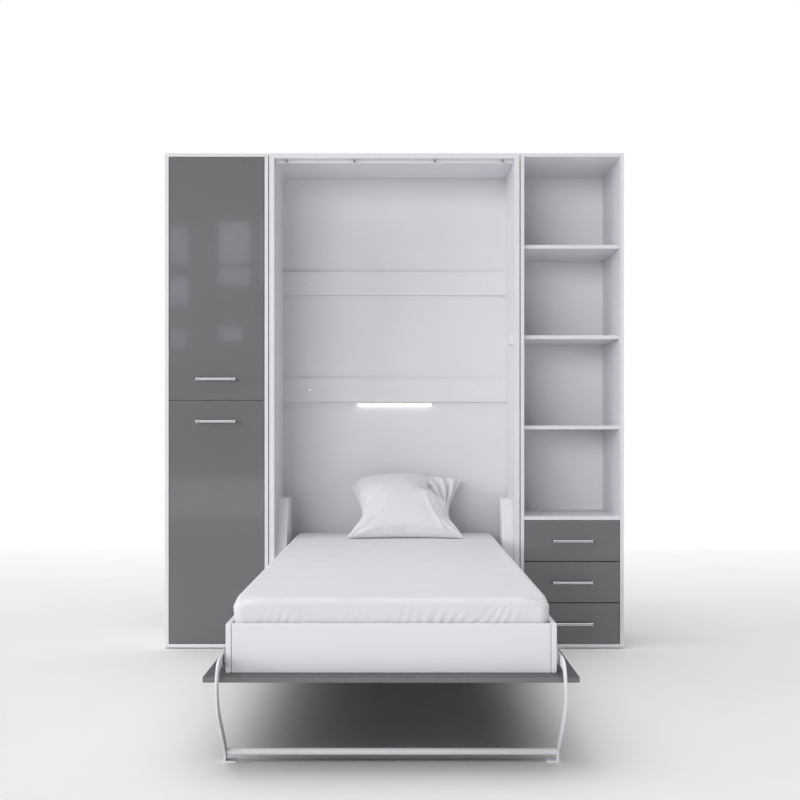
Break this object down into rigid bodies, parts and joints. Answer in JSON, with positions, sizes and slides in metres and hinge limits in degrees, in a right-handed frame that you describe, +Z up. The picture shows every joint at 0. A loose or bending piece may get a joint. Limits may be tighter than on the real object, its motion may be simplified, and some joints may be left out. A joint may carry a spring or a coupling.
{
  "type": "wall bed",
  "caption": "Fold-down single wall bed in a tall cabinet, with a folding foot leg, flanked by a cupboard with doors and an open shelf unit with drawers.",
  "frame": {"origin": "centre of the bounding box on the floor, with the bed down", "axes": "+X to the right of someone who faces the cabinets, +Y towards the wall, +Z up"},
  "size_m": [2, 2.25, 2.16],
  "materials": {
    "white_board": "white melamine, satin",
    "grey_gloss": "grey lacquer, high gloss",
    "chrome": "polished",
    "zinc_steel": "zinc plated",
    "white_steel": "white powder coat",
    "black_steel": "black satin paint",
    "dark_plastic": "matt moulded plastic",
    "rubber": "soft moulded rubber",
    "lamp_metal": "anodised",
    "lamp_lens": "frosted, lit",
    "switch_plastic": "white moulded plastic",
    "slat_wood": "planed beech and pine",
    "bed_linen": "white cotton fitted sheet",
    "pillow_cover": "white cotton pillow case"
  },
  "bodies": {
    "root": {"left_sides": "white_board", "right_sides": "white_board", "side_cabinet_tops": "white_board", "side_cabinet_bottoms": "white_board", "side_cabinet_backs": "white_board", "fixed_shelves": "white_board", "shelves": "white_board", "shelf_pins": "zinc_steel", "connector_screws": "zinc_steel", "floor_glides": "dark_plastic", "hinge_arms": "zinc_steel", "drawer_rails": "zinc_steel", "bed_cabinet_sides": "white_board", "bed_cabinet_top": "white_board", "bed_cabinet_base": "white_board", "bed_cabinet_back": "white_board", "back_joint_strip": "white_board", "wall_rails": "white_board", "stop_strip": "white_board", "stop_buffers": "rubber", "lamp_body": "lamp_metal", "lamp_diffuser": "lamp_lens", "switch_box": "switch_plastic", "hinge_housings": "white_steel", "housing_screws": "zinc_steel", "pivot_bushes": "dark_plastic"},
    "upper_door": {"upper_door": "grey_gloss", "upper_door_handle": "chrome", "upper_hinge_cups": "zinc_steel"},
    "lower_door": {"lower_door": "grey_gloss", "lower_door_handle": "chrome", "lower_hinge_cups": "zinc_steel"},
    "switch_rocker": {"switch_rocker": "switch_plastic"},
    "bed": {"front_panel": "grey_gloss", "panel_handle": "chrome", "bed_side_boards": "white_board", "foot_board": "white_board", "head_board": "white_board", "slat_ledgers": "slat_wood", "slats": "slat_wood", "pivot_brackets": "zinc_steel", "leg_plates": "zinc_steel", "mattress": "bed_linen", "pillow": "pillow_cover"},
    "leg": {"leg_arms": "white_steel", "leg_tube": "white_steel"},
    "strut_cylinders": {"strut_cylinders": "black_steel"},
    "strut_rods": {"strut_rods": "zinc_steel"},
    "top_drawer": {"top_drawer_front": "grey_gloss", "top_drawer_box": "white_board", "top_drawer_handle": "chrome", "top_drawer_slides": "zinc_steel"},
    "middle_drawer": {"middle_drawer_front": "grey_gloss", "middle_drawer_box": "white_board", "middle_drawer_handle": "chrome", "middle_drawer_slides": "zinc_steel"},
    "bottom_drawer": {"bottom_drawer_front": "grey_gloss", "bottom_drawer_box": "white_board", "bottom_drawer_handle": "chrome", "bottom_drawer_slides": "zinc_steel"}
  },
  "joints": [
    {"name": "bed_fold", "type": "hinge", "parent": "root", "child": "bed", "pos_m": [0, 0.75, 0.309], "axis": [-1, 0, 0], "range_deg": [0, 90], "deforming": ["pillow"]},
    {"name": "leg_fold", "type": "hinge", "parent": "bed", "child": "leg", "pos_m": [0, -0.925, 0.306], "axis": [-1, 0, 0], "range_deg": [0, 180]},
    {"name": "strut_swing", "type": "hinge", "parent": "root", "child": "strut_cylinders", "pos_m": [0, 0.935, 0.61], "axis": [1, 0, 0], "range_deg": [0, 6.68]},
    {"name": "strut_extend", "type": "slide", "parent": "strut_cylinders", "child": "strut_rods", "axis": [0, -0.5266, -0.8501], "range_m": [0, 0.04117]},
    {"name": "upper_door_swing", "type": "hinge", "parent": "root", "child": "upper_door", "pos_m": [-0.982, 0.695, 1.61275], "axis": [0, 0, -1], "range_deg": [0, 95]},
    {"name": "lower_door_swing", "type": "hinge", "parent": "root", "child": "lower_door", "pos_m": [-0.982, 0.695, 0.55125], "axis": [0, 0, -1], "range_deg": [0, 95]},
    {"name": "switch_tilt", "type": "hinge", "parent": "root", "child": "switch_rocker", "pos_m": [0.514, 0.802, 1.352], "axis": [0, -1, 0], "range_deg": [0, 10]},
    {"name": "top_drawer_slide", "type": "slide", "parent": "root", "child": "top_drawer", "axis": [0, -1, 0], "range_m": [0, 0.28]},
    {"name": "middle_drawer_slide", "type": "slide", "parent": "root", "child": "middle_drawer", "axis": [0, -1, 0], "range_m": [0, 0.28]},
    {"name": "bottom_drawer_slide", "type": "slide", "parent": "root", "child": "bottom_drawer", "axis": [0, -1, 0], "range_m": [0, 0.28]}
  ],
  "couplings": [
    {"joint": "leg_fold", "follows": "bed_fold", "ratio": 2},
    {"joint": "strut_swing", "follows": "bed_fold", "ratio": 0.0742},
    {"joint": "strut_extend", "follows": "bed_fold", "m_per_rad": 0.026194}
  ]
}
